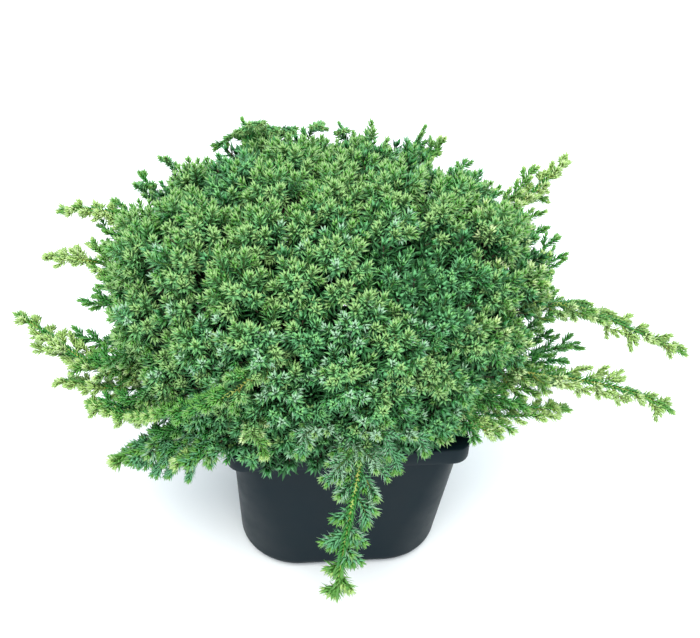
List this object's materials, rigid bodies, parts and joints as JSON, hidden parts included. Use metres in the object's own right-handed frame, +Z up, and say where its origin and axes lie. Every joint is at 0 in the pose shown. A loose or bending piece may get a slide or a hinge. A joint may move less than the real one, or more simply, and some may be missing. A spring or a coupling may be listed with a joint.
{
  "type": "japanese garden juniper in a square container",
  "caption": "Low mound of prickly evergreen foliage with long leading shoots, growing on a short trunk in a square plastic container on four feet.",
  "frame": {"origin": "middle of the footprint, on the surface that the container stands on", "axes": "+Z up, +X to the viewer's right along the crown's widest direction, -Y towards the viewer"},
  "size_m": [0.6181, 0.4549, 0.3889],
  "materials": {
    "pot": "moulded black polypropylene, slightly blue, fine satin",
    "soil": "moist dark peat and bark mix",
    "bark": "thin flaking reddish brown bark",
    "foliage": "mature needles, mid green with pale blue-green inner faces",
    "young_foliage": "yellow-green needles of this year's shoots"
  },
  "bodies": {
    "root": {"pot": "pot", "soil": "soil", "trunk": "bark", "bough_lower_right": "bark", "bough_lower_back_right": "bark", "bough_lower_back": "bark", "bough_lower_back_left": "bark", "bough_lower_left": "bark", "bough_lower_front_left": "bark", "bough_lower_front": "bark", "bough_lower_front_right": "bark", "bough_middle_right": "bark", "bough_middle_back_right": "bark", "bough_middle_back_left": "bark", "bough_middle_left": "bark", "bough_middle_front_left": "bark", "bough_middle_front_right": "bark", "bough_top_right": "bark", "bough_top_left": "bark", "mass_lower_right": "foliage", "mass_lower_back_right": "foliage", "mass_lower_back": "foliage", "mass_lower_back_left": "foliage", "mass_lower_left": "foliage", "mass_lower_front_left": "foliage", "mass_lower_front": "foliage", "mass_lower_front_right": "foliage", "mass_middle_right": "foliage", "mass_middle_back_right": "foliage", "mass_middle_back_left": "foliage", "mass_middle_left": "foliage", "mass_middle_front_left": "foliage", "mass_middle_front_right": "foliage", "mass_top_right": "foliage", "mass_top_left": "foliage", "shoot_left_long": "young_foliage", "shoot_left_middle": "young_foliage", "shoot_left_upper": "young_foliage", "shoot_left_feather": "young_foliage", "shoot_left_low": "young_foliage", "shoot_front_left_hanging": "young_foliage", "shoot_front_left_short": "young_foliage", "shoot_front_hanging": "young_foliage", "shoot_front_right_short": "young_foliage", "shoot_right_low": "young_foliage", "shoot_right_long_front": "young_foliage", "shoot_right_long": "young_foliage", "shoot_right_upper": "young_foliage", "shoot_back_right": "young_foliage", "shoot_back": "young_foliage", "shoot_back_left": "young_foliage"}
  },
  "joints": []
}
